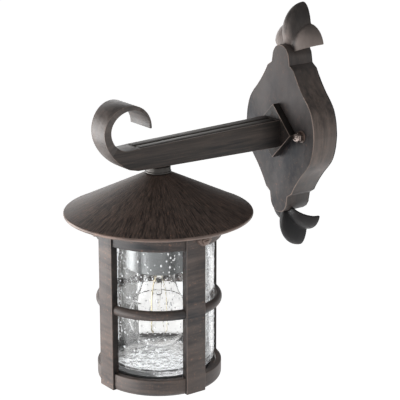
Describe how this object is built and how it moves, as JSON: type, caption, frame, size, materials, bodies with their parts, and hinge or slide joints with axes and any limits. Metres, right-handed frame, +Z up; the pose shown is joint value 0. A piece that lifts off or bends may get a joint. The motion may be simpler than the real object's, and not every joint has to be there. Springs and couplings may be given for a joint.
{
  "type": "outdoor wall lantern",
  "caption": "Downward wall lantern: shaped wall plate with leaf ends, tapered arm with a curled end, cone roof, and clear seeded glass in a four-post cage.",
  "frame": {"origin": "middle of the wall bracket's back face, on the wall", "axes": "+Y into the wall, -Y along the arm, +X to the right of someone facing the wall, +Z up"},
  "size_m": [0.18, 0.2655, 0.348],
  "materials": {
    "bronze": "cast, painted antique bronze with brushed copper highlights",
    "plate_bronze": "cast, painted antique bronze, satin",
    "roof_bronze": "painted antique bronze, brushed from the tip to the rim",
    "plated_steel": "bright plated",
    "nickel": "nickel plated",
    "zinc_steel": "zinc plated",
    "grey_cup": "grey painted sheet",
    "brass": "plain",
    "porcelain": "glazed white",
    "nylon": "moulded",
    "rubber": "matt black",
    "lead_sheath": "smooth sheath",
    "seeded_glass": "clear, with small trapped bubbles",
    "bulb_glass": "clear"
  },
  "bodies": {
    "root": {"backplate": "plate_bronze", "finial_top": "bronze", "finial_bottom": "bronze", "wall_gasket": "rubber", "wall_bracket": "zinc_steel", "wall_screw_left": "zinc_steel", "wall_screw_right": "zinc_steel", "bracket_stud_left": "zinc_steel", "bracket_stud_right": "zinc_steel", "cap_washer_left": "nickel", "cap_washer_right": "nickel", "cap_nut_left": "nickel", "cap_nut_right": "nickel", "terminal_block": "nylon", "terminal_screw": "zinc_steel", "earth_screw": "brass", "supply_lead": "lead_sheath", "arm": "bronze", "arm_curl": "bronze", "arm_cover_strip": "bronze", "arm_rosette": "bronze", "arm_screw_upper": "zinc_steel", "arm_screw_lower": "zinc_steel", "threaded_nipple": "zinc_steel", "nut_in_arm": "zinc_steel", "nut_under_roof": "zinc_steel", "nut_over_cup": "zinc_steel", "nut_in_cup": "zinc_steel", "spacer_collar": "plated_steel", "roof": "roof_bronze", "roof_spigot": "roof_bronze", "roof_seal": "rubber", "lampholder_cup": "grey_cup", "lampholder": "porcelain", "lampholder_thread": "brass", "lampholder_contact": "brass"},
    "bulb": {"bulb_cap": "nickel", "bulb_glass": "bulb_glass", "bulb_stem": "bulb_glass"},
    "cage": {"cage_band": "bronze", "cage_post_1": "bronze", "cage_post_2": "bronze", "cage_post_3": "bronze", "cage_post_4": "bronze", "ring_rod_1": "bronze", "ring_rod_2": "bronze", "ring_rod_3": "bronze", "ring_rod_4": "bronze", "base_ring": "bronze", "cage_screw_1": "nickel", "cage_screw_2": "nickel", "cage_screw_3": "nickel", "glass_seat": "rubber", "glass_cylinder": "seeded_glass"}
  },
  "joints": [
    {"name": "cage_lower", "type": "slide", "parent": "root", "child": "cage", "axis": [0, 0, -1], "range_m": [0, 0.14]},
    {"name": "bulb_turn", "type": "hinge", "parent": "root", "child": "bulb", "pos_m": [0, -0.1755, -0.1], "axis": [0, 0, -1], "range_deg": [0, 1080]}
  ]
}
